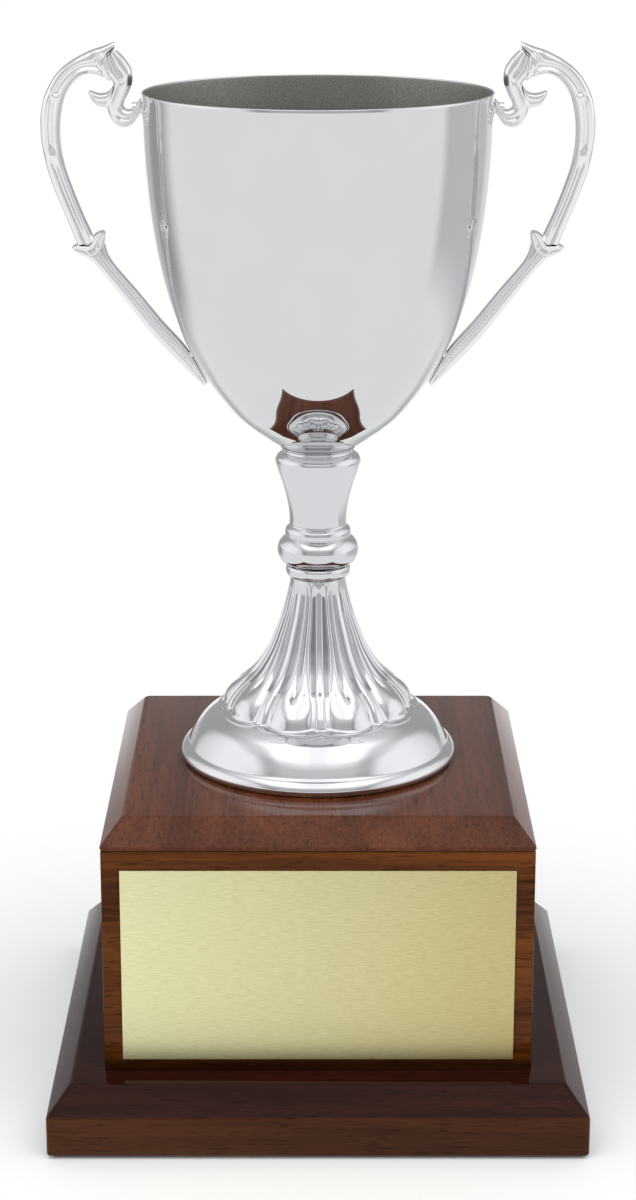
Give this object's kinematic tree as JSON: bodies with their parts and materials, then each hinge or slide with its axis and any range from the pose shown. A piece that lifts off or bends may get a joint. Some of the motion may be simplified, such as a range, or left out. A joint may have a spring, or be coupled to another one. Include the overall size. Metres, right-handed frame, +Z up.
{
  "type": "cup trophy",
  "caption": "Two-handled metal cup on a knopped stem and fluted foot, bolted to a square lacquered wooden block with a chamfered plinth and a blank plate.",
  "frame": {"origin": "centre of the underside of the felt, on the surface the trophy stands on", "axes": "+Z up; the brass plate faces -Y; the handles lie in the XZ plane, one on each side"},
  "size_m": [0.1626, 0.16, 0.3176],
  "materials": {
    "felt": "dark felt",
    "plinth_wood": "dark walnut, glossy lacquer",
    "panel_wood": "walnut veneer, lacquered",
    "cap_wood": "dark walnut, glossy lacquer",
    "bare_wood": "bare pine",
    "brushed_brass": "brushed",
    "silver_foot": "bright silver plate",
    "silver_stem": "bright silver plate",
    "silver_bowl": "bright silver plate outside, satin inside",
    "silver_handle": "silver plated casting",
    "plated_steel": "zinc plated"
  },
  "bodies": {
    "root": {"felt_pad": "felt", "plinth": "plinth_wood", "front_panel": "panel_wood", "rear_panel": "panel_wood", "left_panel": "panel_wood", "right_panel": "panel_wood", "cap_board": "cap_wood", "corner_blocks": "bare_wood", "base_screws": "plated_steel", "front_plate": "brushed_brass", "foot": "silver_foot", "stem_collar": "silver_stem", "knop": "silver_stem", "stem_vase": "silver_stem", "bowl_seat": "silver_stem", "bowl": "silver_bowl", "handle_left": "silver_handle", "handle_right": "silver_handle", "handle_screws": "plated_steel", "handle_washers": "plated_steel", "tie_rod": "plated_steel", "bowl_washer": "plated_steel", "bowl_nut": "plated_steel", "foot_washer": "plated_steel", "foot_nut": "plated_steel", "cap_washer": "plated_steel", "cap_nut": "plated_steel"}
  },
  "joints": []
}
